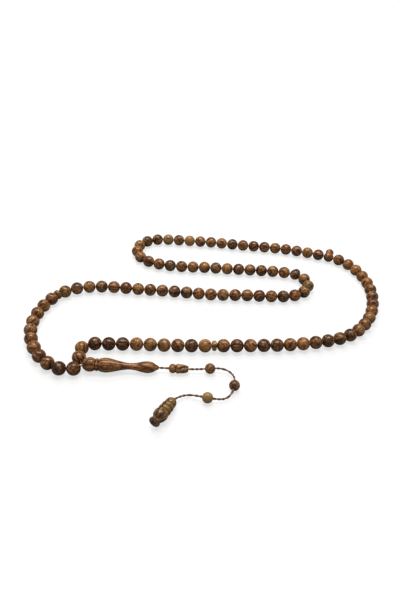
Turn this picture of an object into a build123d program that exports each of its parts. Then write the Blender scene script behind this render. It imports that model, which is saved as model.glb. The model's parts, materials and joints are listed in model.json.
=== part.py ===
"""Misbaha: a loop of round wooden beads with two flat discs and two two-lobed markers,
closed by a turned imame, with a short tassel of small beads and a carved finial.

Millimetres, +Z up. The string lies on the plane Z = 0, with the origin at the middle of its outline.
The imame points along +X, a few degrees off the axis.
"""

import math
import os

from build123d import *

os.makedirs("parts", exist_ok=True)

# ---------------------------------------------------------------- driving dimensions
BEAD_DIAMETER = 8.34
BEAD_LENGTH = 8.22          # along the bore, between the small flats round its two ends
BEAD_PITCH = 8.38           # centre to centre along the string
BORE_RADIUS = 0.6
STRING_HEIGHT = BEAD_DIAMETER / 2

DISC_DIAMETER = 6.4
DISC_LENGTH = 2.8
DISC_PITCH = 3.0            # room that a disc takes up on the string

MARKER_BODY = 7.5           # two-lobed marker: drilled lobe and knob
MARKER_KNOB = 6.0
MARKER_PITCH = 7.6
KNOB_REACH = 3.9            # from the bore's axis to the knob's centre
FIRST_KNOB_ROLL = 180 - 25   # degrees about the bore: level to the left of the string at 0
SECOND_KNOB_ROLL = -12
WAIST_ARC = 1.0             # hollow curve between the two lobes

STRAND_RADIUS = 0.3         # one strand of the string
STRAND_OFFSET = 0.31        # the two ends lie one above the other where they enter the imame
TASSEL_CORD_RADIUS = 0.55   # both strands twisted together
GENTLEST_RADIUS = 1500.0    # arcs flatter than this are as good as straight
PIVOT_GAP = 0.02            # between a cord's round end and the next stretch

IMAME_LENGTH = 44.0
IMAME_HEAD_RADIUS = 4.2
IMAME_BODY_RADIUS = 4.3     # widest, at IMAME_BODY_AT
IMAME_BODY_AT = 13.2
IMAME_FOOT_RADIUS = 3.45    # second swelling, at IMAME_FOOT_AT
IMAME_FOOT_AT = 37.8
IMAME_WAIST_RADIUS = 1.95
IMAME_WAIST_AT = 26.6
IMAME_BORE = 0.7
IMAME_TIP_RADIUS = 1.0
IMAME_MOUTH = Vector(-80.3, -48.05, 0.0)
IMAME_YAW = -3.1            # degrees about the vertical

BARREL_LENGTH = 11.4
BARREL_RADIUS = 2.9
TASSEL_BEAD_DIAMETER = 6.3
TASSEL_BORE = 0.9
FINIAL_LENGTH = 20
FINIAL_RADIUS = 4.05
FINIAL_BORE = 0.8
KNOT_RADIUS = 1.1

TAIL_BEADS = 11             # beads between the imame and each disc
SIDE_BEADS = 23             # beads between a disc and a marker
MIDDLE_BEADS = 33           # beads between the two markers

# Course of the string on the table, chosen by hand, from the first bead round to the last.
TAIL_TURN = [(-81.6, -45.8), (-84.7, -37.6), (-79.7, -29.6), (-70.5, -29.9)]
FRONT_ROW = [(-58, -30.3), (-41.5, -31.2), (-25, -32.3), (-8, -32.8), (9, -33), (26, -33.1), (43, -32.8), (58, -31.4)]
RIGHT_SWEEP = [(71, -29.3), (86.3, -24.4), (97.1, -16), (105.1, -6), (112, 9), (115.5, 26), (114.3, 42)]
MARKER_BEND = [(107.8, 57.7), (101.9, 64), (94.6, 67.5), (86.8, 70.8)]
BACK_ROW = [(72, 75.7), (55, 79.7), (39, 82.1), (23, 84.7), (6, 87.6), (-11, 89.6), (-27, 91.2)]
LEFT_TURN = [(-36, 91.4), (-44.2, 88.3), (-49.9, 82), (-51.4, 74), (-48.8, 66.2), (-42.2, 59.9)]
INNER_ROW = [(-34, 56.6), (-18, 53.5), (-1, 52.6), (15, 50.8), (32, 49.4), (48, 47.6), (57, 46.3)]
RIGHT_TURN = [(63.8, 44), (70.4, 38.6), (71.9, 30.3), (67.6, 22.6), (59.5, 18)]
MIDDLE_ROW = [(51, 16.9), (34, 17.8), (18, 18.7), (1, 19.4), (-16, 21.8), (-33, 24.1), (-49, 25.9), (-66, 28.3)]
LEFT_SWEEP = [(-82.9, 28.7), (-98.7, 23.5), (-106.5, 15.4), (-113.1, 0.9), (-115.4, -14), (-111.5, -30.7)]
LAST_BEND = [(-103.8, -43.6), (-97.5, -48.7), (-89.1, -52.8), (-83.5, -51.3), (-80.9, -48.9)]
COURSE = [
    (x, y, STRING_HEIGHT) for x, y in
    TAIL_TURN + FRONT_ROW + RIGHT_SWEEP + MARKER_BEND + BACK_ROW + LEFT_TURN
    + INNER_ROW + RIGHT_TURN + MIDDLE_ROW + LEFT_SWEEP + LAST_BEND
]

# Route of the free tassel cord, chosen by hand, from the imame's tip to the finial's mouth.
TASSEL_ROUTE = [
    (-36.39, -50.43, 3.24), (-25, -51.3, 2.95), (-12.5, -52.1, 3), (-0.5, -51.3, 3.37), (5.6, -52.9, 1.8),
    (8, -59.5, 2.97), (5.5, -70.6, 3.37), (1, -74.6, 1.6), (-5.2, -75.6, 2.97), (-14.2, -73.4, 3.37),
    (-19.5, -70.4, 1.4), (-25, -72, 1.9), (-28.5, -75.7, 3.3),
]
FINIAL_FOOT = (-39.4, -92.4, 4.45)
THREADED_AT = (11.8, 30.3, 55.8, 78.2)    # barrel bead and small beads, in mm of route from the imame


def export(shape, name):
    """Write one sub-part."""
    shape.label = name
    export_step(shape, f"parts/{name}.step")


def turned(outline, bore):
    """Solid of revolution about X from (x, radius) points and a bore through it."""
    start, end = outline[0][0], outline[-1][0]
    edges = [Spline(*outline)] if len(outline) > 2 else [Line(*outline)]
    edges += [Line(outline[-1], (end, bore)), Line((end, bore), (start, bore)), Line((start, bore), outline[0])]
    return revolve(make_face(Wire(edges)), Axis.X)


def along(centre, direction, roll=0.0):
    """Location that carries the X axis onto a direction, keeping Y level."""
    x_axis = Vector(*direction).normalized()
    level = Vector(0, 0, 1).cross(x_axis).normalized()
    plane = Plane(origin=centre, x_dir=x_axis, z_dir=x_axis.cross(level))
    return plane.location * Location((0, 0, 0), (roll, 0, 0))


# ---------------------------------------------------------------- pieces on the string
def round_bead():
    """Round bead with a small flat round each end of the hole."""
    half, radius = BEAD_LENGTH / 2, BEAD_DIAMETER / 2
    flat = math.sqrt(radius**2 - half**2)
    outline = [
        ThreePointArc((half, flat), (0, radius), (-half, flat)),
        Line((-half, flat), (-half, BORE_RADIUS)),
        Line((-half, BORE_RADIUS), (half, BORE_RADIUS)),
        Line((half, BORE_RADIUS), (half, flat)),
    ]
    return revolve(make_face(Wire(outline)), Axis.X)


def flat_disc():
    """Disc with a rounded rim."""
    disc = Rot(0, 90, 0) * Cylinder(DISC_DIAMETER / 2, DISC_LENGTH)
    disc = fillet(disc.edges().filter_by(GeomType.CIRCLE), 1.1)
    return disc - Rot(0, 90, 0) * Cylinder(BORE_RADIUS, 2 * DISC_LENGTH)


def two_lobed_marker():
    """Drilled lobe with a knob standing out along +Y, joined by a soft waist."""
    body, knob = MARKER_BODY / 2, MARKER_KNOB / 2
    to_body, to_knob = body + WAIST_ARC, knob + WAIST_ARC
    waist_x = (KNOB_REACH**2 + to_body**2 - to_knob**2) / (2 * KNOB_REACH)
    waist = Vector(waist_x, math.sqrt(to_body**2 - waist_x**2))
    knob_centre = Vector(KNOB_REACH, 0)
    leaving = waist * (body / to_body)
    meeting = knob_centre + (waist - knob_centre) * (knob / to_knob)
    outline = [
        ThreePointArc((-body, 0), (0, body), leaving),
        ThreePointArc(leaving, waist - Vector(0, WAIST_ARC), meeting),
        ThreePointArc(meeting, (KNOB_REACH, knob), (KNOB_REACH + knob, 0)),
        Line((KNOB_REACH + knob, 0), (-body, 0)),
    ]
    lobes = Rot(0, 0, 90) * revolve(make_face(Wire(outline)), Axis.X)
    return lobes - Rot(0, 90, 0) * Cylinder(BORE_RADIUS, 2 * MARKER_BODY)


def stringing_order():
    """Kinds of piece from the imame round to the imame again."""
    bead, disc, marker = ("bead", BEAD_PITCH / 2), ("disc", DISC_PITCH / 2), ("marker", MARKER_PITCH / 2)
    first_half = [bead] * TAIL_BEADS + [disc] + [bead] * SIDE_BEADS + [marker]
    return first_half + [bead] * MIDDLE_BEADS + first_half[::-1]


def corner_turns(points):
    """For each inner corner: the half turn and the shorter of its two runs."""
    points = [Vector(*point) for point in points]
    for before, corner, after in zip(points, points[1:], points[2:]):
        arriving, leaving = corner - before, after - corner
        yield math.radians(arriving.get_angle(leaving)) / 2, min(arriving.length, leaving.length)


def walk(course, order, half_turns):
    """Set the pieces along the course: each sits on the straight run between two corners of the string."""
    def point(s):
        return course.position_at(min(s, course.length), position_mode=PositionMode.LENGTH)

    s, corner = 0.0, point(0.0)
    corners, places = [corner], []
    for (kind, half), turn_before, turn_after in zip(order, half_turns, half_turns[1:]):
        lead = half / math.cos(turn_before)
        run = lead + half / math.cos(turn_after)
        low, high = s + run, s + 1.2 * run
        for _ in range(24):
            middle = (low + high) / 2
            low, high = (middle, high) if (point(middle) - corner).length < run else (low, middle)
        s, next_corner = low, point(low)
        heading = (next_corner - corner).normalized()
        places.append((kind, corner + heading * lead, heading))
        corner = next_corner
        corners.append(corner)
    print(f"course {course.length:.2f} mm long, the pieces end {course.length - s:.2f} mm before its end")
    return corners, places


def lay_string():
    """Walk the course, and again with the turns found, so that the pieces keep their pitch in the bends."""
    course, order = Spline(*COURSE), stringing_order()
    half_turns = [0.0] * (len(order) + 1)
    for _ in range(4):
        corners, places = walk(course, order, half_turns)
        half_turns = [0.0] + [half for half, _ in corner_turns(corners)] + [0.0]
    return corners, places


# ---------------------------------------------------------------- cords
def cord_tube(points, radii, radius, round_start=False, round_end=False):
    """Tube along straight runs joined by tangent arcs."""
    path = FilletPolyline(*points, radius=radii)
    tube = sweep(Plane(origin=path @ 0, z_dir=path % 0) * Circle(radius), path=path)
    ratio = tube.volume / (math.pi * radius**2 * path.length)
    print(f"cord {path.length:.1f} mm long, radii {min(radii):.1f} to {max(radii):.1f}, volume ratio {ratio:.4f}")
    if round_start:
        tube += Pos(*points[0]) * Sphere(radius)
    if round_end:
        tube += Pos(*points[-1]) * Sphere(radius)
    return tube


def free_radii(points):
    """Arcs as large as the runs allow."""
    return [0.45 * run / math.tan(half) for half, run in corner_turns(points)]


def threaded_radii(points):
    """Arcs as large as the runs allow, while the cord stays clear of the mouths of the bores."""
    play = 0.7 * (BORE_RADIUS - STRAND_RADIUS)
    radii = []
    for half, run in corner_turns(points):
        slope = math.tan(half)
        mouth = BEAD_PITCH / 2 / math.cos(half) - BEAD_LENGTH / 2
        middle = slope * mouth + play
        limit = (middle + math.sqrt(middle**2 - (slope * mouth) ** 2)) / slope**2
        radii.append(min(0.45 * run / slope, limit, GENTLEST_RADIUS))
    return radii


# ---------------------------------------------------------------- imame
IMAME_TILT = math.asin((IMAME_BODY_RADIUS - IMAME_FOOT_RADIUS) / (IMAME_FOOT_AT - IMAME_BODY_AT))
MOUTH_HEIGHT = IMAME_BODY_RADIUS + IMAME_BODY_AT * math.tan(IMAME_TILT)
IMAME_AXIS = Vector(math.cos(IMAME_TILT), 0, -math.sin(IMAME_TILT)).rotate(Axis.Z, IMAME_YAW)
MOUTH_CENTRE = IMAME_MOUTH + Vector(0, 0, MOUTH_HEIGHT)


def imame():
    """Turned tube: barrel head, ring between two grooves, long swelling, waist, second swelling, tip."""
    head = [(0.0, 1.9), (0.7, 2.8), (2.1, 3.8), (3.9, IMAME_HEAD_RADIUS), (5.6, 4.0), (7.2, 3.2)]
    ring = [(7.2, 3.2), (8.2, 3.75), (9.2, 3.2)]
    body = [
        (9.2, 3.2), (10.6, 3.95), (IMAME_BODY_AT, IMAME_BODY_RADIUS), (16.5, 3.9), (21.5, 2.75),
        (IMAME_WAIST_AT, IMAME_WAIST_RADIUS), (31.0, 2.3), (35.0, 3.2), (IMAME_FOOT_AT, IMAME_FOOT_RADIUS),
        (40.5, 2.9), (42.6, 1.7), (IMAME_LENGTH, IMAME_TIP_RADIUS),
    ]
    edges = [Spline(*head), Spline(*ring), Spline(*body)]
    edges += [
        Line(body[-1], (IMAME_LENGTH, 0.82)),
        Line((IMAME_LENGTH, 0.82), (IMAME_LENGTH - 0.5, IMAME_BORE)),
        Line((IMAME_LENGTH - 0.5, IMAME_BORE), (0.9, IMAME_BORE)),
        Line((0.9, IMAME_BORE), (0.0, 1.7)),
        Line((0.0, 1.7), head[0]),
    ]
    return along(MOUTH_CENTRE, IMAME_AXIS) * revolve(make_face(Wire(edges)), Axis.X)


def imame_strands():
    """The string's two ends inside the imame, one above the other."""
    start = STRAND_RADIUS + PIVOT_GAP
    end = IMAME_LENGTH - TASSEL_CORD_RADIUS - PIVOT_GAP
    strand = Pos((start + end) / 2, 0, 0) * Rot(0, 90, 0) * Cylinder(STRAND_RADIUS, end - start)
    return [along(MOUTH_CENTRE, IMAME_AXIS) * Pos(0, 0, side * STRAND_OFFSET) * strand for side in (-1, 1)]


# ---------------------------------------------------------------- tassel pieces
def on_route(distance):
    """Point of the tassel route that many millimetres from the imame."""
    for start, end in zip(TASSEL_ROUTE, TASSEL_ROUTE[1:]):
        run = Vector(*end) - Vector(*start)
        if distance <= run.length:
            return Vector(*start) + run.normalized() * distance
        distance -= run.length
    raise ValueError("the route is shorter than that")


def threaded(distance, length):
    """Middle and direction of a straight bore of that length, threaded on the tassel cord."""
    back, front = on_route(distance - length / 2), on_route(distance + length / 2)
    return (back + front) / 2, (front - back).normalized()


def barrel_bead():
    """Ball, groove and ring, then a tulip cup narrowing to its end."""
    half = BARREL_LENGTH / 2
    outline = [
        (-half, 1.3), (-half + 0.9, 2.3), (-half + 2.3, 2.75), (-half + 3.6, 2.2), (-half + 4.0, 2.2),
        (-half + 5.4, BARREL_RADIUS), (-half + 7.4, 2.8), (-half + 9.4, 2.4), (-half + 10.8, 1.9), (half, 1.5),
    ]
    return turned(outline, TASSEL_BORE)


def small_bead():
    """Round tassel bead with the same play on the cord as the others."""
    bead = Sphere(TASSEL_BEAD_DIAMETER / 2)
    flats = Box(TASSEL_BEAD_DIAMETER - 0.35, TASSEL_BEAD_DIAMETER, TASSEL_BEAD_DIAMETER)
    return (bead & flats) - Rot(0, 90, 0) * Cylinder(TASSEL_BORE, TASSEL_BEAD_DIAMETER)


def finial():
    """Round cap, two rings, bud, narrow neck and a flared end, with a pocket for the knot."""
    cap = [(0.0, 1.3), (0.5, 2.1), (1.8, 2.95), (3.4, 3.2), (4.8, 2.9)]
    upper_ring = [(4.8, 2.9), (6.2, 3.6), (7.7, 3.0)]
    lower_ring = [(7.7, 3.0), (9.2, 3.75), (10.7, 3.1)]
    bud = [(10.7, 3.1), (12.0, 3.85), (13.4, FINIAL_RADIUS), (15.6, 3.5), (17.8, 2.1)]
    foot = [(17.8, 2.1), (18.3, 2.6), (19.0, 3.15), (19.6, 3.15), (FINIAL_LENGTH, 2.7)]
    pocket = FINIAL_LENGTH - 3.6
    edges = [Spline(*section) for section in (cap, upper_ring, lower_ring, bud, foot)]
    edges += [
        Line(foot[-1], (FINIAL_LENGTH, KNOT_RADIUS + 0.1)),
        Line((FINIAL_LENGTH, KNOT_RADIUS + 0.1), (pocket, KNOT_RADIUS + 0.1)),
        Line((pocket, KNOT_RADIUS + 0.1), (pocket, FINIAL_BORE)),
        Line((pocket, FINIAL_BORE), (0.6, FINIAL_BORE)),
        Line((0.6, FINIAL_BORE), (0.0, 1.1)),
        Line((0.0, 1.1), cap[0]),
    ]
    return revolve(make_face(Wire(edges)), Axis.X)


# ---------------------------------------------------------------- build
def build_round_beads(places):
    """Single beads in the two tails, and one node for each longer run."""
    bead = round_bead()
    located = [along(centre, heading) * bead for kind, centre, heading in places if kind == "bead"]
    groups = [
        ("opening_bead", TAIL_BEADS), ("right_run_beads", SIDE_BEADS), ("middle_run_beads", MIDDLE_BEADS),
        ("left_run_beads", SIDE_BEADS), ("closing_bead", TAIL_BEADS),
    ]
    for name, count in groups:
        run, located = located[:count], located[count:]
        if count == TAIL_BEADS:
            for number, shape in enumerate(run, start=1):
                export(shape, f"{name}_{number:02d}")
        else:
            export(Compound(children=run), name)


def build_discs_and_markers(places):
    """The pieces that divide the string."""
    disc, marker = flat_disc(), two_lobed_marker()
    pieces = [
        ("first_disc", disc, 0), ("first_marker", marker, FIRST_KNOB_ROLL),
        ("second_marker", marker, SECOND_KNOB_ROLL), ("second_disc", disc, 0),
    ]
    dividers = [(centre, heading) for kind, centre, heading in places if kind != "bead"]
    for (name, shape, roll), (centre, heading) in zip(pieces, dividers):
        export(along(centre, heading, roll) * shape, name)
        print(f"{name} at {centre}, bore {heading}")


def build_loop_cord(corners):
    """The string itself, with round ends on the axis that the imame swings about."""
    upper = MOUTH_CENTRE + Vector(0, 0, STRAND_OFFSET)
    lower = MOUTH_CENTRE - Vector(0, 0, STRAND_OFFSET)
    points = [tuple(upper)] + [tuple(corner) for corner in corners] + [tuple(lower)]
    cord = cord_tube(points, threaded_radii(points), STRAND_RADIUS, round_start=True, round_end=True)
    export(cord, "loop_cord")


def build_tassel():
    """The cord out of the imame's tip, and what is threaded on it."""
    radii = free_radii(TASSEL_ROUTE)
    cord = cord_tube(TASSEL_ROUTE, radii, TASSEL_CORD_RADIUS, round_start=True, round_end=True)
    export(cord, "tassel_cord")
    print("tassel cord radii", [round(radius, 1) for radius in radii])
    small = small_bead()
    pieces = [
        ("barrel_bead", barrel_bead(), BARREL_LENGTH), ("tassel_bead_1", small, TASSEL_BEAD_DIAMETER),
        ("tassel_bead_2", small, TASSEL_BEAD_DIAMETER), ("tassel_bead_3", small, TASSEL_BEAD_DIAMETER),
    ]
    for (name, shape, length), distance in zip(pieces, THREADED_AT):
        centre, heading = threaded(distance, length)
        export(along(centre, heading) * shape, name)
        print(f"{name} at {centre}, bore {heading}")


def build_finial():
    """The finial, with the last stretch of cord and its knot inside."""
    mouth = Vector(*TASSEL_ROUTE[-1])
    axis = Vector(*FINIAL_FOOT) - mouth
    start, end = TASSEL_CORD_RADIUS + PIVOT_GAP, FINIAL_LENGTH - 3.1
    cord = Pos((start + end) / 2, 0, 0) * Rot(0, 90, 0) * Cylinder(TASSEL_CORD_RADIUS, end - start)
    knot = Pos(end + KNOT_RADIUS * 0.8, 0, 0) * Sphere(KNOT_RADIUS)
    knot -= Pos(end - KNOT_RADIUS, 0, 0) * Box(2 * KNOT_RADIUS, 4 * KNOT_RADIUS, 4 * KNOT_RADIUS)
    place = along(mouth, axis)
    export(place * finial(), "finial")
    export(place * cord, "finial_cord")
    export(place * knot, "finial_knot")
    print(f"finial axis {axis.normalized()}")


corners, places = lay_string()
build_round_beads(places)
build_discs_and_markers(places)
build_loop_cord(corners)
export(imame(), "imame")
export(Compound(children=imame_strands()), "imame_strands")
build_tassel()
build_finial()
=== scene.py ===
"""Looks of the misbaha: polished palm wood beads on a string, a turned imame, and a tassel that ends in a
carved finial."""

import itertools
import json
import math
import random
from typing import NamedTuple

import bmesh
import bpy
from mathutils import Euler, Matrix, Vector


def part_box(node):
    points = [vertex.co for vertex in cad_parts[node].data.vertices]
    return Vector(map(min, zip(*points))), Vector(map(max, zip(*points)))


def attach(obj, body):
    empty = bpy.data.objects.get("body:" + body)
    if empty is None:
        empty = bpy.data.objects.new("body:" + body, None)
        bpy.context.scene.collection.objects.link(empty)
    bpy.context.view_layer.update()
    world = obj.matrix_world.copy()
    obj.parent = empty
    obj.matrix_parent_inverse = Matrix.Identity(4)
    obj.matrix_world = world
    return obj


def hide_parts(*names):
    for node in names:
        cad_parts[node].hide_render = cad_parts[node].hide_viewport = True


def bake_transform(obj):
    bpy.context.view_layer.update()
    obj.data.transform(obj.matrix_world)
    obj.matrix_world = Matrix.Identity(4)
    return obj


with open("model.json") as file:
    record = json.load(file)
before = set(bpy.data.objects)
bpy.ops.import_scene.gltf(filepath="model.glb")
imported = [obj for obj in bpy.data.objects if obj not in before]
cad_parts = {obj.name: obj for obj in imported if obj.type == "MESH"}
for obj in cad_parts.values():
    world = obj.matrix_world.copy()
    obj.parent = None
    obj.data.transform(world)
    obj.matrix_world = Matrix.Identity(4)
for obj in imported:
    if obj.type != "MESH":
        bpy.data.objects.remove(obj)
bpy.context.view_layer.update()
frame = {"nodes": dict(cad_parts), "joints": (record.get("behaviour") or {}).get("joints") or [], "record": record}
MM = 0.001
NODES = frame["nodes"]
BODIES = frame["record"]["behaviour"]["bodies"]
BODY_OF = {node: body for body, members in BODIES.items() for node in members}
JOINTS = {joint["name"]: joint for joint in frame["joints"]}

# ---------------------------------------------------------------- sizes in millimetres
BEAD_RADIUS, BEAD_HALF, BEAD_BORE = 4.17, 4.11, 0.6
TASSEL_BEAD_RADIUS, TASSEL_BEAD_HALF, TASSEL_BORE = 3.15, 2.975, 0.9
DISC_RADIUS, DISC_HALF, DISC_RIM = 3.2, 1.4, 1.1
MARKER_BODY_RADIUS, MARKER_KNOB_RADIUS, KNOB_REACH, MARKER_WAIST_ARC = 3.75, 3.0, 3.9, 1.0
DRILL_LENGTH = 12.0
FIRST_KNOB_ROLL, SECOND_KNOB_ROLL = 180 - 25, -12
IMAME_LENGTH, IMAME_BORE, IMAME_YAW = 44.0, 0.7, -3.1
IMAME_BODY_RADIUS, IMAME_BODY_AT = 4.3, 13.2
IMAME_FOOT_RADIUS, IMAME_FOOT_AT = 3.45, 37.8
BARREL_LENGTH = 11.4
FINIAL_LENGTH, FINIAL_BORE, KNOT_POCKET, POCKET_DEPTH = 20.0, 0.8, 1.2, 3.6
CORD_DIAMETER, PLY_RADIUS, TWIST_PITCH = 1.4, 0.39, 6.6     # twisted cord of two plies
TASSEL_ROUTE = [
    (-36.39, -50.43, 3.24), (-25, -51.3, 2.95), (-12.5, -52.1, 3), (-0.5, -51.3, 3.37), (5.6, -52.9, 1.8),
    (8, -59.5, 2.97), (5.5, -70.6, 3.37), (1, -74.6, 1.6), (-5.2, -75.6, 2.97), (-14.2, -73.4, 3.37),
    (-19.5, -70.4, 1.4), (-25, -72, 1.9), (-28.5, -75.7, 3.3),
]
FINIAL_FOOT = (-39.4, -92.4, 4.45)

# How painted shade darkens the wood in grooves, carved cuts and the bore
GROOVE_SHADE_REACH = 0.3          # how far the painted shade reaches along the piece, to either side of the grooves
FULL_SHADE_CUT = 0.45
BORE_SIDE = 1.3             # points nearer to the axis than this are inside, uncarved and painted dark as shade

# ---------------------------------------------------------------- camera
CAMERA_AT = Vector((-41, -288, 235.5)) * MM
CAMERA_HEADING = math.radians(-6.34)
CAMERA_PITCH = math.radians(37.35)
CAMERA_ROLL = math.radians(3.67)
CAMERA_LENS = 33.75


def make_camera():
    """Portrait camera that looks down over the string."""
    data = bpy.data.cameras.new("camera")
    data.sensor_fit = "VERTICAL"
    data.sensor_height = 36
    data.lens = CAMERA_LENS
    data.clip_start = 0.01
    camera = bpy.data.objects.new("camera", data)
    turn = Matrix.Rotation(CAMERA_HEADING, 4, "Z") @ Matrix.Rotation(math.pi / 2 - CAMERA_PITCH, 4, "X")
    camera.matrix_world = Matrix.Translation(CAMERA_AT) @ turn @ Matrix.Rotation(CAMERA_ROLL, 4, "Z")
    bpy.context.scene.collection.objects.link(camera)
    bpy.context.scene.camera = camera


# ---------------------------------------------------------------- materials
class Surface:
    """Short way to write a material's node tree round one Principled shader."""

    def __init__(self, name):
        self.material = bpy.data.materials.new(name)
        self.material.use_nodes = True
        self.tree = self.material.node_tree
        self.shader = self.tree.nodes["Principled BSDF"]

    def feed(self, node, key, value):
        """Set or link one input, given by name or number."""
        if isinstance(value, bpy.types.NodeSocket):
            self.tree.links.new(value, node.inputs[key])
        else:
            node.inputs[key].default_value = value

    def add(self, kind, inputs=(), **settings):
        node = self.tree.nodes.new(kind)
        for name, value in settings.items():
            setattr(node, name, value)
        for key, value in dict(inputs).items():
            self.feed(node, key, value)
        return node

    def attribute(self, name):
        return self.add("ShaderNodeAttribute", attribute_name=name)

    def math(self, operation, first, second=0.0, clamp=False):
        node = self.add("ShaderNodeMath", {0: first, 1: second}, operation=operation, use_clamp=clamp)
        return node.outputs[0]

    def vector(self, operation, first, second):
        return self.add("ShaderNodeVectorMath", {0: first, 1: second}, operation=operation).outputs[0]

    def stretch(self, place, scale):
        return self.vector("MULTIPLY", place, scale)

    def noise(self, vector, detail=2.0, roughness=0.5):
        inputs = {"Vector": vector, "Scale": 1.0, "Detail": detail, "Roughness": roughness}
        return self.add("ShaderNodeTexNoise", inputs)

    def total(self, *parts):
        """Weighted sum of (value, weight) parts."""
        found = None
        for value, weight in parts:
            weighted = self.math("MULTIPLY", value, weight)
            found = weighted if found is None else self.math("ADD", found, weighted)
        return found

    def spread(self, value, low, high, new_low=0.0, new_high=1.0):
        """Value carried from one range to another, and held there."""
        inputs = {"Value": value, 1: low, 2: high, 3: new_low, 4: new_high}
        return self.add("ShaderNodeMapRange", inputs).outputs[0]

    def ramp(self, fac, stops):
        """Colour for a value, from (value, colour) stops."""
        node = self.add("ShaderNodeValToRGB", {"Fac": fac})
        elements = node.color_ramp.elements
        while len(elements) < len(stops):
            elements.new(0.5)
        for element, (place, colour) in zip(elements, stops):
            element.position = place
            element.color = (*colour, 1)
        return node.outputs["Color"]

    def mix(self, fac, first, second):
        node = self.add("ShaderNodeMix", {0: fac}, data_type="RGBA")
        for key, value in ((6, first), (7, second)):
            self.feed(node, key, value if isinstance(value, bpy.types.NodeSocket) else (*value, 1))
        return node.outputs[2]

    def bump(self, height, distance, strength=1.0):
        node = self.add("ShaderNodeBump", {"Height": height, "Distance": distance, "Strength": strength})
        self.feed(self.shader, "Normal", node.outputs["Normal"])


NEAR_BLACK, DARK_BROWN = (0.030, 0.008, 0.003), (0.080, 0.026, 0.007)
BROWN, GOLD = (0.185, 0.074, 0.017), (0.330, 0.165, 0.044)
OLIVE_TINT, RED_TINT = (0.86, 1.0, 1.2), (1.12, 0.96, 0.88)


def palm_wood(name, gloss):
    """Polished palm wood: dark fibre bundles in golden brown, streaks along the grain and flecks across it.

    grain is a vertex's place in its own blank, in millimetres, with the fibres along Z. shade is the
    blank's tone, from 0, dark, to 2, plain gold. warmth is how red it is, from 0, olive, to 1. The last
    attribute is painted shade: how much a turned groove, a carved hollow or the bore darkens the vertex.
    """
    s = Surface(name)
    place = s.attribute("grain").outputs["Vector"]
    shade = s.attribute("shade").outputs["Fac"]
    warmth = s.attribute("warmth").outputs["Fac"]
    recess_shade = s.attribute("recess_shade").outputs["Fac"]

    bend = s.noise(s.stretch(place, (0.16, 0.16, 0.05))).outputs["Color"]
    place = s.vector("ADD", place, s.stretch(bend, (2.2, 2.2, 0.0)))
    broad = s.noise(s.stretch(place, (0.3, 0.3, 0.04)), 2.0, 0.5).outputs["Fac"]
    streaks = s.noise(s.stretch(place, (0.85, 0.85, 0.06)), 3.0, 0.65).outputs["Fac"]
    figure = s.noise(s.stretch(place, (0.16, 0.16, 0.04)), 1.0).outputs["Fac"]
    bands = s.math("SINE", s.math("MULTIPLY", figure, 48.0))
    hairs = s.noise(s.stretch(place, (3.6, 3.6, 0.25)), 2.0, 0.6).outputs["Fac"]
    cell_inputs = {"Vector": s.stretch(place, (1.4, 1.4, 0.09)), "Scale": 1.0}
    cells = s.add("ShaderNodeTexVoronoi", cell_inputs)
    flecks = s.spread(cells.outputs["Distance"], 0.16, 0.3)

    pattern = s.total((streaks, 1.5), (broad, 0.65), (bands, 0.09), (hairs, 0.4))
    value = s.math("ADD", pattern, s.spread(shade, 0, 2, -0.97, -0.27))
    wood = s.ramp(value, [(0.26, NEAR_BLACK), (0.40, DARK_BROWN), (0.52, BROWN), (0.70, GOLD)])
    wood = s.vector("MULTIPLY", wood, s.mix(warmth, OLIVE_TINT, RED_TINT))
    wood = s.mix(s.spread(flecks, 0, 1, 0.6, 0.0), wood, NEAR_BLACK)
    # Painted shade: grooves, carved hollows and the bore darkened towards near black
    wood = s.mix(s.math("MULTIPLY", recess_shade, 0.75), wood, NEAR_BLACK)
    s.feed(s.shader, "Base Color", wood)

    s.feed(s.shader, "Roughness", s.spread(hairs, 0.3, 0.7, gloss, gloss + 0.14))
    s.feed(s.shader, "Specular IOR Level", 0.32)
    s.feed(s.shader, "Specular Tint", (1, 0.75, 0.55, 1))
    s.feed(s.shader, "Coat Weight", 0.5)
    s.feed(s.shader, "Coat Roughness", 0.06)
    s.bump(s.math("ADD", s.math("MULTIPLY", flecks, 0.6), hairs), 0.05 * MM)
    return s.material


def cord_fibre(name, colour, lighter):
    """Brown thread: cloudy colour and fine fibres, with a dull surface."""
    s = Surface(name)
    place = s.stretch(s.add("ShaderNodeTexCoord").outputs["Object"], (1 / MM, 1 / MM, 1 / MM))
    cloudy = s.noise(s.stretch(place, (0.8, 0.8, 0.8))).outputs["Fac"]
    fine = s.noise(s.stretch(place, (7, 7, 7)), 3.0).outputs["Fac"]
    mottled = s.math("MULTIPLY", s.math("ADD", cloudy, fine), 0.5)
    s.feed(s.shader, "Base Color", s.mix(mottled, colour, lighter))
    s.feed(s.shader, "Roughness", s.spread(fine, 0.3, 0.7, 0.55, 0.75))
    s.feed(s.shader, "Sheen Weight", 0.3)
    s.bump(fine, 0.06 * MM)
    return s.material


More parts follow.
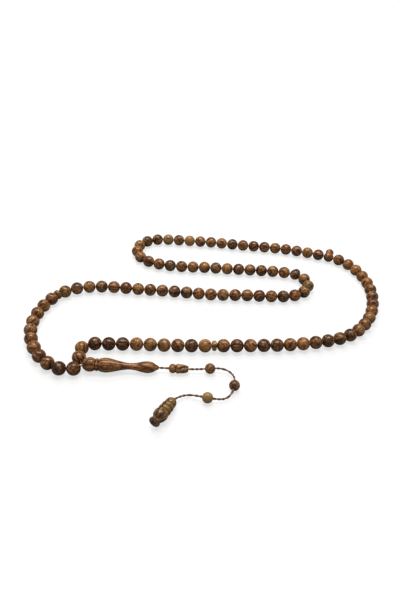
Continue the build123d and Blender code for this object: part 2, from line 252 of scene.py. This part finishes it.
def twisted_fibre(name, colour, lighter):
    """One ply of the twisted cord: fibres that run round it at a slant.

    ply holds the turns round the ply, the millimetres along it, and painted shade where it meets the other ply.
    """
    s = Surface(name)
    ply = s.attribute("ply").outputs["Vector"]
    turns, along, crevice_shade = s.add("ShaderNodeSeparateXYZ", {0: ply}).outputs
    slant = s.total((turns, 7.0), (along, 2.2))
    yarn = s.math("SINE", s.math("MULTIPLY", slant, 2 * math.pi))
    fuzz = s.noise(s.stretch(ply, (9, 5, 5)), 3.0, 0.65).outputs["Fac"]
    fac = s.math("ADD", s.spread(yarn, -1, 1, 0, 0.35), s.math("MULTIPLY", fuzz, 0.65), clamp=True)
    thread_colour = s.mix(fac, colour, lighter)
    # Painted shade darkens the side of each ply that lies against the other one
    s.feed(s.shader, "Base Color", s.mix(s.spread(crevice_shade, 0, 1, 0.0, 0.7), thread_colour, NEAR_BLACK))
    s.feed(s.shader, "Roughness", s.spread(fuzz, 0.3, 0.7, 0.5, 0.7))
    s.feed(s.shader, "Sheen Weight", 0.3)
    s.bump(s.math("ADD", yarn, fuzz), 0.03 * MM)
    return s.material


def paint(obj, material):
    """Give a CAD node one material, on the object and not on its mesh."""
    for slot in obj.material_slots:
        slot.link = "OBJECT"
        slot.material = material


# ---------------------------------------------------------------- mesh helpers
def curve_through(points, steps):
    """Points on a smooth curve through an outline's points."""
    padded = [points[0]] + list(points) + [points[-1]]
    found = []
    for before, start, end, after in zip(padded, padded[1:], padded[2:], padded[3:]):
        for step in range(steps):
            t = step / steps
            point = []
            for a, b, c, d in zip(before, start, end, after):
                square, cube = 2 * a - 5 * b + 4 * c - d, 3 * b - a - 3 * c + d
                point.append(0.5 * (2 * b + (c - a) * t + square * t**2 + cube * t**3))
            found.append(tuple(point))
    return found + [tuple(points[-1])]


def axis_place(centre, direction, roll=0.0):
    """Matrix that carries X onto a direction, from a point in metres, and keeps Y level."""
    x_axis = Vector(direction).normalized()
    level = Vector((0, 0, 1)).cross(x_axis).normalized()
    turn = Matrix((x_axis, level, x_axis.cross(level))).transposed().to_4x4()
    return Matrix.Translation(centre) @ turn @ Matrix.Rotation(math.radians(roll), 4, "X")


def node_centre(node):
    low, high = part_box(node)
    return (low + high) / 2


def joint_place(joint):
    """Point that a hinge's axis passes through, in metres."""
    return Vector(JOINTS[joint]["pos_m"])


def bore_axis(node):
    """Direction of a turning piece's bore."""
    return JOINTS[f"{node}_turn"]["axis"]


def skin(mesh, rings, closed):
    """Cover a row of equal rings with faces that look outwards.

    The rings run counterclockwise as seen from the row's far end. The last ring joins the first, or both
    get an end face.
    """
    if not closed:
        mesh.faces.new(rings[0][::-1])
        mesh.faces.new(rings[-1])
    for first, second in zip(rings, rings[1:] + rings[:1] if closed else rings[1:]):
        for step in range(len(first)):
            after = (step + 1) % len(first)
            mesh.faces.new((first[step], first[after], second[after], second[step]))


def smooth_piece(mesh, name, material):
    """Object made from a finished bmesh of closed shells."""
    data = bpy.data.meshes.new(name)
    mesh.to_mesh(data)
    mesh.free()
    data.shade_smooth()
    data.materials.append(material)
    piece = bpy.data.objects.new(name, data)
    bpy.context.scene.collection.objects.link(piece)
    return piece


def stand_for(piece, node):
    """The piece rides where its CAD node does and replaces it."""
    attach(piece, BODY_OF[node])
    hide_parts(node)


class Wood(NamedTuple):
    """How a blank is cut: the turn that brings its fibres to Z, its place in the tree, tone and warmth."""

    fibres: Matrix
    shift: Vector
    shade: float
    warmth: float = 0.5


ALONG_X = 1.5 * Matrix.Rotation(-math.pi / 2, 3, "Y")      # fine fibres along a turned piece


def any_cut(draw):
    """Random turn of the fibres and random place in the tree."""
    fibres = Euler([draw.uniform(0, 2 * math.pi) for _ in range(3)]).to_matrix()
    return fibres, Vector([draw.uniform(-90, 90) for _ in range(3)])


class Blank:
    """Wooden piece in the making: one mesh, turned from one or more blanks."""

    def __init__(self, node):
        self.node = node
        self.mesh = bmesh.new()
        layers = self.mesh.verts.layers
        self.grain = layers.float_vector.new("grain")
        self.shade = layers.float.new("shade")
        self.warmth = layers.float.new("warmth")
        # Painted shade for grooves, carved hollows and the bore
        self.recess_shade = layers.float.new("recess_shade")

    def turn(self, outline, place, wood, around=40, carve=None, grooves=(), capped=False):
        """Turn an outline of (x, radius) points, in mm, about X. It is a ring, or capped at its ends.

        carve(x, angle) is the depth cut away there, in mm. grooves are the places along X where shade is
        painted on the wood; the bore and carved hollows get painted shade as well.
        """
        rings = []
        for x, radius in outline:
            inside = radius <= BORE_SIDE
            recess_shade = max([math.exp(-(((x - at) / GROOVE_SHADE_REACH) ** 2)) for at in grooves], default=0.0)
            ring = []
            for step in range(around):
                angle = 2 * math.pi * step / around
                cut = carve(x, angle) if carve and not inside else 0.0
                here = Vector((x, (radius - cut) * math.cos(angle), (radius - cut) * math.sin(angle)))
                vert = self.mesh.verts.new(place @ (here * MM))
                vert[self.grain] = wood.fibres @ here + wood.shift
                vert[self.shade] = wood.shade
                vert[self.warmth] = wood.warmth
                # Painted shade: full in the bore, else from nearness to grooves and from carved depth
                vert[self.recess_shade] = 1.0 if inside else max(recess_shade, min(cut / FULL_SHADE_CUT, 1.0))
                ring.append(vert)
            rings.append(ring)
        skin(self.mesh, rings, closed=not capped)

    def finish(self, material):
        """The finished piece, standing for its CAD node."""
        piece = smooth_piece(self.mesh, f"{self.node}_wood", material)
        stand_for(piece, self.node)
        return piece


def with_bore(outer, bore, lip=0.12):
    """Closed outline: the outside from low to high X, then a bore with slightly rounded lips."""
    start, end = outer[0], outer[-1]
    inside = [
        (end[0], bore + lip), (end[0] - lip, bore), ((start[0] + end[0]) / 2, bore), (start[0] + lip, bore),
        (start[0], bore + lip),
    ]
    return list(outer) + inside


# ---------------------------------------------------------------- beads
def bead_outline(radius, half, bore, steps=22):
    """Round, with a small flat around each end of the bore."""
    first = math.acos(half / radius)
    angles = [math.pi - first - (math.pi - 2 * first) * step / steps for step in range(steps + 1)]
    return with_bore([(radius * math.cos(a), radius * math.sin(a)) for a in angles], bore)


def disc_outline(steps=8):
    """Flat disc with a rounded rim."""
    quarter = [math.radians(90 * step / steps) for step in range(steps + 1)]
    flat, inner = DISC_HALF - DISC_RIM, DISC_RADIUS - DISC_RIM
    rising = [(-flat - DISC_RIM * math.cos(a), inner + DISC_RIM * math.sin(a)) for a in quarter]
    return with_bore(rising + [(-x, r) for x, r in reversed(rising)], BEAD_BORE)


def string_centres(node):
    """Middles of a node's separate beads, from the large islands of its mesh, in metres."""
    mesh = bmesh.new()
    mesh.from_mesh(NODES[node].data)
    seen, centres = set(), []
    for start in mesh.verts:
        if start in seen:
            continue
        seen.add(start)
        island, front = [start], [start]
        while front:
            vert = front.pop()
            for edge in vert.link_edges:
                other = edge.other_vert(vert)
                if other not in seen:
                    seen.add(other)
                    island.append(other)
                    front.append(other)
        low = [min(vert.co[axis] for vert in island) for axis in range(3)]
        high = [max(vert.co[axis] for vert in island) for axis in range(3)]
        centre = (Vector(low) + Vector(high)) / 2
        is_bead = (Vector(high) - Vector(low)).length > BEAD_RADIUS * MM
        if is_bead and all((centre - known).length > MM for known in centres):
            centres.append(centre)
    mesh.free()
    return centres


SINGLES_BEFORE = [f"opening_bead_{number:02d}" for number in range(1, 12)]
SINGLES_AFTER = [f"closing_bead_{number:02d}" for number in range(1, 12)]
RUNS = ["right_run_beads", "middle_run_beads", "left_run_beads"]
DIVIDERS = ["first_disc", "first_marker", "second_marker", "second_disc"]

# Beads that stand out, numbered along the string
DARKEST_BEADS = (3, 4, 100)
DARK_BEADS = (1, 5, 10, 13, 15, 16, 17, 20, 22, 38, 41, 43, 50, 57, 58, 61, 65, 72, 80, 87, 98, 99, 101)
LIGHT_BEADS = (6, 7, 8, 11, 12, 18, 36, 44, 48, 52, 56, 62, 78)
PLAIN_BEADS = (47, 49)
OLIVE_BEADS = (3, 5, 10, 15, 16, 43, 49, 51, 57, 61, 63, 69, 72, 80, 87)


def bead_tone(number):
    """Usual tone of one bead's blank, and how red it is."""
    warmth = 0.1 if number in OLIVE_BEADS else 0.65
    if number in DARKEST_BEADS:
        return 0.1, warmth
    if number in DARK_BEADS:
        return 0.35, warmth
    if number in LIGHT_BEADS:
        return 0.75, warmth
    return (1.25 if number in PLAIN_BEADS else 0.55), warmth


def make_beads(material):
    """The 101 round beads, each from a blank of its own tone and grain."""
    draw = random.Random(33)
    outline = bead_outline(BEAD_RADIUS, BEAD_HALF, BEAD_BORE)
    other_centres = [node_centre(node) for node in DIVIDERS + SINGLES_BEFORE + SINGLES_AFTER]
    numbers = itertools.count(1)

    def turn_bead(piece, centre, axis):
        cut = any_cut(draw)
        shade, warmth = bead_tone(next(numbers))
        shade += draw.uniform(-0.15, 0.15)
        warmth += draw.uniform(-0.3, 0.3)
        piece.turn(outline, axis_place(centre, axis), Wood(*cut, shade, warmth))

    def make_singles(nodes):
        for node in nodes:
            piece = Blank(node)
            turn_bead(piece, node_centre(node), bore_axis(node))
            piece.finish(material)

    make_singles(SINGLES_BEFORE)
    for node in RUNS:
        centres = string_centres(node)
        piece = Blank(node)
        for centre in centres:
            by_distance = sorted(centres + other_centres, key=lambda other: (other - centre).length)
            before, after = by_distance[1:3]
            turn_bead(piece, centre, after - before)
        piece.finish(material)
    make_singles(SINGLES_AFTER)


# ---------------------------------------------------------------- discs and two-lobed markers
def marker_outline(steps=10):
    """Half outline of the two lobes, from the drilled lobe's pole to the knob's, along the knob's axis."""
    body, knob, arc = MARKER_BODY_RADIUS, MARKER_KNOB_RADIUS, MARKER_WAIST_ARC
    waist_x = (KNOB_REACH**2 + (body + arc) ** 2 - (knob + arc) ** 2) / (2 * KNOB_REACH)
    waist_r = math.sqrt((body + arc) ** 2 - waist_x**2)
    to_waist = math.atan2(waist_r, waist_x)
    to_knob = math.atan2(waist_r, waist_x - KNOB_REACH)
    points = []
    for centre, radius, start, end in (
        (0.0, body, math.pi - 0.05, to_waist), (KNOB_REACH, knob, to_knob, 0.05),
    ):
        angles = [start + (end - start) * step / (2 * steps) for step in range(2 * steps + 1)]
        points.append([(centre + radius * math.cos(a), radius * math.sin(a)) for a in angles])
    start, end = to_waist - math.pi, to_knob - math.pi
    angles = [start + (end - start) * step / steps for step in range(1, steps)]
    hollow = [(waist_x + arc * math.cos(a), waist_r + arc * math.sin(a)) for a in angles]
    return points[0] + hollow + points[1]


def drill_across(piece, place):
    """Cut a straight bore along the place's X axis out of a solid piece."""
    drill = bmesh.new()
    bmesh.ops.create_cone(
        drill, cap_ends=True, segments=24, radius1=BEAD_BORE * MM, radius2=BEAD_BORE * MM,
        depth=DRILL_LENGTH * MM, matrix=place @ Matrix.Rotation(math.pi / 2, 4, "Y"),
    )
    drill_data = bpy.data.meshes.new("drill")
    drill.to_mesh(drill_data)
    drill.free()
    tool = bpy.data.objects.new("drill", drill_data)
    bpy.context.scene.collection.objects.link(tool)
    cut = piece.modifiers.new("bore", "BOOLEAN")
    cut.object, cut.operation, cut.solver = tool, "DIFFERENCE", "EXACT"
    bpy.context.view_layer.update()
    drilled = bpy.data.meshes.new_from_object(piece.evaluated_get(bpy.context.evaluated_depsgraph_get()))
    piece.modifiers.clear()
    piece.data = drilled
    bpy.data.objects.remove(tool)


def make_marker(node, roll, material, draw, shade, warmth):
    """Two lobes turned about the knob's axis, drilled across the larger one."""
    place = axis_place(joint_place(f"{node}_turn"), bore_axis(node), roll)
    knob_place = place @ Matrix.Rotation(math.pi / 2, 4, "Z")
    piece = Blank(node)
    piece.turn(marker_outline(), knob_place, Wood(*any_cut(draw), shade, warmth), capped=True)
    drill_across(piece.finish(material), place)


def make_dividers(material):
    """The two discs and the two markers."""
    draw = random.Random(5)
    for node in ("first_disc", "second_disc"):
        piece = Blank(node)
        place = axis_place(node_centre(node), bore_axis(node))
        piece.turn(disc_outline(), place, Wood(*any_cut(draw), shade=0.85))
        piece.finish(material)
    make_marker("first_marker", FIRST_KNOB_ROLL, material, draw, shade=0.4, warmth=0.8)
    make_marker("second_marker", SECOND_KNOB_ROLL, material, draw, shade=0.4, warmth=0.0)


# ---------------------------------------------------------------- imame, barrel bead and finial
def joined(sections, steps=7):
    """One outline from sections that meet at sharp grooves, and where those grooves are along X."""
    outline = []
    for section in sections:
        points = curve_through(section, steps)
        outline += points if not outline else points[1:]
    return outline, [section[-1][0] for section in sections[:-1]]


def petals(count, tip, full, depth, width=0.6, twist=0.0, end=math.inf):
    """Carving rule: pointed hollows between petals.

    Along X the hollows start at tip, widen to full and stop at end. twist is how far they wind about the
    piece, in radians for each mm.
    """
    def carve(x, angle):
        t = min(max((x - tip) / (full - tip), 0.0), 1.0)
        if t == 0.0 or x >= end:
            return 0.0
        off_middle = abs(((angle + twist * (x - tip)) * count / (2 * math.pi)) % 1 - 0.5) * 2
        inside = max(1 - off_middle / (width * math.sqrt(t)), 0.0)
        return depth * t**0.5 * (3 * inside**2 - 2 * inside**3)
    return carve


def make_imame(material):
    """Barrel head, ring between two grooves, long swelling, waist, second swelling and tip."""
    head = [(0, 1.9), (0.7, 2.8), (2.1, 3.8), (3.9, 4.2), (5.6, 4.0), (7.0, 3.35), (7.25, 3.05)]
    ring = [(7.25, 3.05), (7.5, 3.45), (8.2, 3.78), (8.9, 3.45), (9.15, 3.05)]
    body = [
        (9.15, 3.05), (9.4, 3.4), (10.6, 3.95), (IMAME_BODY_AT, IMAME_BODY_RADIUS), (16.5, 3.9), (21.5, 2.75),
        (26.6, 1.95), (31.0, 2.3), (35.0, 3.2), (IMAME_FOOT_AT, IMAME_FOOT_RADIUS), (40.5, 2.9), (42.6, 1.7),
        (IMAME_LENGTH, 1.0),
    ]
    outline, grooves = joined([head, ring, body])
    outline += [
        (IMAME_LENGTH, 0.82), (IMAME_LENGTH - 0.5, IMAME_BORE), (IMAME_LENGTH / 2, IMAME_BORE),
        (0.9, IMAME_BORE), (0.0, 1.7),
    ]
    tilt = math.asin((IMAME_BODY_RADIUS - IMAME_FOOT_RADIUS) / (IMAME_FOOT_AT - IMAME_BODY_AT))
    yaw = math.radians(IMAME_YAW)
    axis = (math.cos(tilt) * math.cos(yaw), math.cos(tilt) * math.sin(yaw), -math.sin(tilt))
    place = axis_place(joint_place("imame_swing"), axis)
    piece = Blank("imame")
    wood = Wood(ALONG_X, Vector((12, 5, 40)), shade=0.6, warmth=0.9)
    piece.turn(outline, place, wood, around=72, grooves=grooves)
    piece.finish(material)


def make_barrel(material):
    """Ball lobe and a tulip cup with carved petals, threaded on the tassel cord."""
    half = BARREL_LENGTH / 2
    ball = [(-half, 1.3), (-4.8, 2.35), (-3.4, 2.75), (-2.2, 2.4), (-1.75, 2.1)]
    tulip = [(-1.75, 2.1), (-1.2, 2.6), (-0.3, 2.9), (1.7, 2.8), (3.7, 2.4), (5.1, 1.9), (half, 1.55)]
    outer, grooves = joined([ball, tulip])
    outline = with_bore(outer, TASSEL_BORE, 0.2)
    place = axis_place(node_centre("barrel_bead"), JOINTS["barrel_bead_slide"]["axis"], 20)
    carve = petals(4, -1.4, 2.4, 0.6, width=0.8, twist=0.16)
    piece = Blank("barrel_bead")
    wood = Wood(ALONG_X, Vector((-20, 31, 7)), shade=0.8)
    piece.turn(outline, place, wood, around=100, carve=carve, grooves=grooves)
    piece.finish(material)


def finial_place(roll=0.0):
    """Where the finial lies: X from the cord's mouth to the foot."""
    mouth = joint_place("finial_swing")
    return axis_place(mouth, Vector(FINIAL_FOOT) * MM - mouth, roll)


def make_finial(material):
    """Round cap, two rings, carved bud, narrow neck and a flared foot with a pocket for the knot."""
    cap = [(0.0, 1.3), (0.5, 2.1), (1.8, 2.95), (3.4, 3.2), (4.4, 3.0), (4.75, 2.65)]
    upper = [(4.75, 2.65), (5.05, 3.2), (6.2, 3.6), (7.3, 3.3), (7.65, 2.8)]
    lower = [(7.65, 2.8), (8.0, 3.4), (9.2, 3.75), (10.3, 3.4), (10.7, 2.85)]
    bud = [(10.7, 2.85), (11.1, 3.5), (12.2, 3.9), (13.4, 4.05), (15.6, 3.6), (17.3, 2.5), (17.8, 1.95)]
    foot = [(17.8, 1.95), (18.2, 2.65), (18.9, 3.1), (19.5, 3.2), (19.85, 3.05), (FINIAL_LENGTH, 2.7)]
    outline, grooves = joined([cap, upper, lower, bud, foot])
    pocket = FINIAL_LENGTH - POCKET_DEPTH
    outline += [
        (FINIAL_LENGTH, KNOT_POCKET), (pocket, KNOT_POCKET), (pocket, FINIAL_BORE), (8.0, FINIAL_BORE),
        (0.6, FINIAL_BORE), (0.0, 1.1),
    ]
    carve = petals(5, 12.8, 16.6, 1.0, width=1.0, end=foot[0][0])
    piece = Blank("finial")
    wood = Wood(ALONG_X, Vector((44, -9, 3)), shade=0.7, warmth=0.1)
    piece.turn(outline, finial_place(10), wood, around=120, carve=carve, grooves=grooves)
    piece.finish(material)


def make_tassel_beads(material):
    """The three small beads: medium brown, striped dark, and plain tan."""
    looks = [
        ("dark_wood", Wood(ALONG_X, Vector((3, 9, 22)), shade=0.75, warmth=0.6)),
        ("dark_wood", Wood(ALONG_X, Vector((50, 1, 9)), shade=0.4, warmth=0.6)),
        ("light_wood", Wood(ALONG_X, Vector((8, 70, 5)), shade=1.7, warmth=0.1)),
    ]
    outline = bead_outline(TASSEL_BEAD_RADIUS, TASSEL_BEAD_HALF, TASSEL_BORE, 18)
    for number, (slot, wood) in enumerate(looks, start=1):
        node = f"tassel_bead_{number}"
        piece = Blank(node)
        piece.turn(outline, axis_place(node_centre(node), bore_axis(node)), wood)
        piece.finish(material)


# ---------------------------------------------------------------- tassel cord and its knot
class Plies:
    """Twisted thread in the making: one mesh of round plies."""

    def __init__(self):
        self.mesh = bmesh.new()
        self.ply = self.mesh.verts.layers.float_vector.new("ply")

    def ring(self, middle, out, across, radius, around, run, crevice_shade=0.0):
        """Ring about a point, in the plane of out and across, at run millimetres along its ply.

        The last argument is the painted shade given to the side away from out, where it meets another ply.
        """
        ring = []
        for step in range(around):
            angle = 2 * math.pi * step / around
            vert = self.mesh.verts.new(middle + (out * math.cos(angle) + across * math.sin(angle)) * radius)
            # Painted shade, strongest on the side that faces the other ply
            vert[self.ply] = (step / around, run, crevice_shade * max(-math.cos(angle), 0.0))
            ring.append(vert)
        return ring


def route_points():
    """Points read from the cord's smooth NURBS line, in metres."""
    curve = bpy.data.curves.new("tassel_line", "CURVE")
    curve.dimensions = "3D"
    spline = curve.splines.new("NURBS")
    spline.points.add(len(TASSEL_ROUTE) - 1)
    for point, place in zip(spline.points, TASSEL_ROUTE):
        point.co = (*(Vector(place) * MM), 1)
    spline.order_u = 3
    spline.use_endpoint_u = True
    spline.resolution_u = 24
    line = bpy.data.objects.new("tassel_line", curve)
    mesh = bpy.data.meshes.new_from_object(line)
    points = [vert.co.copy() for vert in mesh.vertices]
    bpy.data.objects.remove(line)
    return points


def evenly(points, spacing):
    """Points at even distances along a line."""
    total = sum((b - a).length for a, b in zip(points, points[1:]))
    count = round(total / spacing)
    found, run = [points[0].copy()], 0.0
    for start, end in zip(points, points[1:]):
        length = (end - start).length
        while len(found) < count and run + length >= len(found) * total / count:
            found.append(start.lerp(end, (len(found) * total / count - run) / length))
        run += length
    return found + [points[-1].copy()]


def make_tassel_cord(material, spacing=0.16, around=12):
    """Two plies twisted round the cord's line."""
    line = route_points()
    points = evenly(line, spacing * MM)
    offset = (CORD_DIAMETER / 2 - PLY_RADIUS) * MM
    plies = Plies()
    rings = ([], [])
    normal = Vector((0, 0, 1))
    run = 0.0
    for index, point in enumerate(points):
        ahead = points[min(index + 1, len(points) - 1)] - points[max(index - 1, 0)]
        tangent = ahead.normalized()
        normal = (normal - tangent * normal.dot(tangent)).normalized()
        side = tangent.cross(normal)
        run += (point - points[index - 1]).length / MM if index else 0.0
        unevenness = 0.7 * math.sin(0.55 * run)
        for strand in range(2):
            turn = 2 * math.pi * run / TWIST_PITCH + unevenness + math.pi * strand
            out = normal * math.cos(turn) + side * math.sin(turn)
            middle = point + out * offset
            # The plies are painted with shade where they meet
            ring = plies.ring(middle, out, tangent.cross(out), PLY_RADIUS * MM, around, run, crevice_shade=1.0)
            rings[strand].append(ring)
    for strand in rings:
        skin(plies.mesh, strand, closed=False)
    piece = smooth_piece(plies.mesh, "tassel_cord_plies", material)
    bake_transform(piece)
    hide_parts("tassel_cord")


def make_knot(material, count=96, around=10):
    """The cord tied in a small knot that fills the pocket in the finial's foot."""
    knot_at, loop_radius, swell, rise, thick = FINIAL_LENGTH - 0.95, 0.5, 0.24, 0.5, 0.36
    points = []
    for step in range(count):
        t = 2 * math.pi * step / count
        along, out = knot_at + rise * math.sin(3 * t), loop_radius + swell * math.cos(3 * t)
        points.append(Vector((along, out * math.cos(2 * t), out * math.sin(2 * t))))
    place = finial_place()
    plies = Plies()
    rings = []
    for step, point in enumerate(points):
        tangent = (points[(step + 1) % count] - points[step - 1]).normalized()
        normal = (Vector((1, 0, 0)) - tangent * tangent.x).normalized()
        rings.append(plies.ring(point, normal, tangent.cross(normal), thick, around, 0.08 * step))
    skin(plies.mesh, rings, closed=True)
    plies.mesh.transform(place @ Matrix.Scale(MM, 4))
    stand_for(smooth_piece(plies.mesh, "finial_knot_tied", material), "finial_knot")


# ---------------------------------------------------------------- floor and light
HORIZON_LIGHT, OVERHEAD_LIGHT = 0.12, 0.55
NEAR_GLOW, FAR_GLOW = 0.68, 1.0


def make_area(name, place, size, power, mirrored=True):
    """Rectangular soft light, aimed at the middle of the string."""
    data = bpy.data.lights.new(name, "AREA")
    data.shape = "RECTANGLE"
    data.size, data.size_y = size
    data.energy = power
    light = bpy.data.objects.new(name, data)
    light.visible_glossy = mirrored
    place = Vector(place)
    light.matrix_world = Matrix.Translation(place) @ (-place).to_track_quat("-Z", "Y").to_matrix().to_4x4()
    bpy.context.scene.collection.objects.link(light)


def make_tent():
    """World light: dim at the horizon, bright overhead, and white behind the floor."""
    world = bpy.data.worlds.new("tent")
    world.use_nodes = True
    tree = world.node_tree
    background = tree.nodes["Background"]
    place = tree.nodes.new("ShaderNodeTexCoord")
    parts = tree.nodes.new("ShaderNodeSeparateXYZ")
    height = tree.nodes.new("ShaderNodeMapRange")
    limits = {"From Min": 0.0, "From Max": 1.0, "To Min": HORIZON_LIGHT, "To Max": OVERHEAD_LIGHT}
    for name, value in limits.items():
        height.inputs[name].default_value = value
    seen = tree.nodes.new("ShaderNodeLightPath")
    strength = tree.nodes.new("ShaderNodeMath")
    strength.operation = "MAXIMUM"
    tree.links.new(place.outputs["Generated"], parts.inputs[0])
    tree.links.new(parts.outputs["Z"], height.inputs["Value"])
    tree.links.new(height.outputs[0], strength.inputs[0])
    tree.links.new(seen.outputs["Is Camera Ray"], strength.inputs[1])
    tree.links.new(strength.outputs[0], background.inputs["Strength"])
    background.inputs["Color"].default_value = (1, 1, 1, 1)
    bpy.context.scene.world = world


def make_floor(half=4.0):
    """White paper that glows a little to the camera, which keeps shadows faint and hides its far edge."""
    mesh = bpy.data.meshes.new("floor")
    corners = [(-half, -half, 0), (half, -half, 0), (half, half, 0), (-half, half, 0)]
    mesh.from_pydata(corners, [], [(0, 1, 2, 3)])
    floor = bpy.data.objects.new("floor", mesh)
    bpy.context.scene.collection.objects.link(floor)
    paper = Surface("white_paper")
    paper.feed(paper.shader, "Base Color", (0.27, 0.265, 0.26, 1))
    paper.feed(paper.shader, "Roughness", 0.9)
    paper.feed(paper.shader, "Specular IOR Level", 0.0)
    paper.feed(paper.shader, "Emission Color", (1, 1, 1, 1))
    place = paper.add("ShaderNodeNewGeometry").outputs["Position"]
    distance = paper.add("ShaderNodeVectorMath", {0: place}, operation="LENGTH").outputs["Value"]
    glow = paper.spread(distance, 0.25, 1.2, NEAR_GLOW, FAR_GLOW)
    seen = paper.add("ShaderNodeLightPath").outputs["Is Camera Ray"]
    paper.feed(paper.shader, "Emission Strength", paper.math("MULTIPLY", seen, glow))
    mesh.materials.append(paper.material)


def make_studio():
    """White floor under a soft light overhead and another behind, which throws the shadows forward."""
    make_tent()
    make_area("overhead", (0, 0.16, 0.9), (0.8, 0.3), 6.5)
    make_area("behind", (-0.1, 0.8, 0.75), (0.6, 0.4), 8.5, mirrored=False)
    bpy.context.scene.view_settings.view_transform = "Standard"
    make_floor()


# ---------------------------------------------------------------- the whole string
make_camera()
make_studio()
wood = palm_wood("palm_wood", 0.24)
make_beads(wood)
make_dividers(wood)
make_imame(wood)
make_barrel(wood)
make_finial(wood)
make_tassel_beads(wood)
thread = cord_fibre("thread", (0.05, 0.022, 0.014), (0.11, 0.05, 0.03))
twisted = twisted_fibre("twisted_cord", (0.085, 0.030, 0.013), (0.28, 0.115, 0.050))
make_tassel_cord(twisted)
make_knot(twisted)
for node in ("loop_cord", "imame_strands", "finial_cord"):
    paint(NODES[node], thread)
